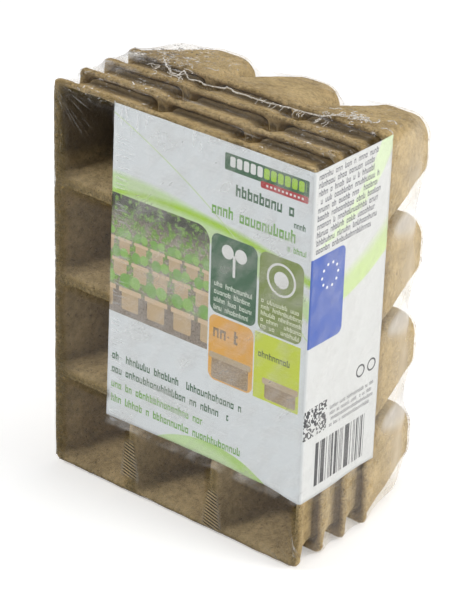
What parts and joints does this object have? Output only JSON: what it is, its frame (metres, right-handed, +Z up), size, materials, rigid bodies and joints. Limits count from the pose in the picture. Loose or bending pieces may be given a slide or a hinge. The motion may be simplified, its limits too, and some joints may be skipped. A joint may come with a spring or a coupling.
{
  "type": "peat pot pack",
  "caption": "Shrink-wrapped block of nested square peat pot trays with a printed sheet folded round one front edge.",
  "frame": {"origin": "middle of the pack's box, on the surface that it stands on", "axes": "+Z up the four rows of pots, +X across the three columns, -Y out of the open mouths, +Y towards the closed bases"},
  "size_m": [0.1218, 0.0826, 0.1613],
  "materials": {
    "peat_fibre": "rough pressed peat and wood fibre",
    "printed_sheet": "smooth printed paper",
    "clear_film": "clear shrink film, glossy, with pleats"
  },
  "bodies": {
    "root": {"pot_tray_1": "peat_fibre", "pot_tray_2": "peat_fibre", "pot_tray_3": "peat_fibre", "pot_tray_4": "peat_fibre", "label_sheet": "printed_sheet", "shrink_film": "clear_film"}
  },
  "joints": []
}
